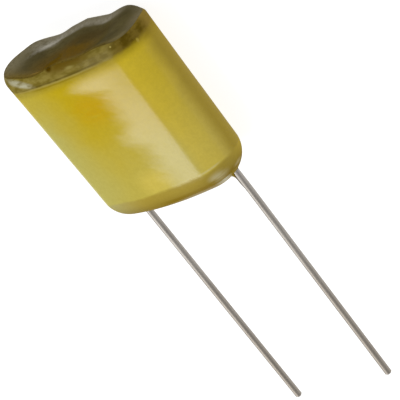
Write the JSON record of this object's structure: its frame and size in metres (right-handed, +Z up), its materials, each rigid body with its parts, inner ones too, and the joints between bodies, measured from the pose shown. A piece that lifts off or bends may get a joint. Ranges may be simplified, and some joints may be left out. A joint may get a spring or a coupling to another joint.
{
  "type": "film capacitor",
  "caption": "Radial film capacitor with an oval body wrapped in translucent yellow tape, amber resin ends and tinned wire leads, lying on its back.",
  "frame": {"origin": "on the resting plane, under the middle of the part's box", "axes": "+Z up out of the front broad face, +Y along the roll towards the poured end, leads along -Y"},
  "size_m": [0.021, 0.052, 0.0092],
  "materials": {
    "metallized_film": "metallized plastic film, wound tight",
    "sprayed_metal": "matt sprayed zinc",
    "tinned_wire": "tinned copper wire",
    "sleeve_tube": "plain insulating tube",
    "solder": "soft solder",
    "yellow_tape": "translucent yellow film tape, glossy",
    "amber_resin": "poured amber resin, glossy"
  },
  "bodies": {
    "root": {"film_winding": "metallized_film", "top_metal_spray": "sprayed_metal", "bottom_metal_spray": "sprayed_metal", "left_lead": "tinned_wire", "right_lead": "tinned_wire", "lead_sleeve": "sleeve_tube", "top_solder_joint": "solder", "bottom_solder_joint": "solder", "tape_wrap": "yellow_tape", "top_end_fill": "amber_resin", "bottom_end_fill": "amber_resin"}
  },
  "joints": []
}
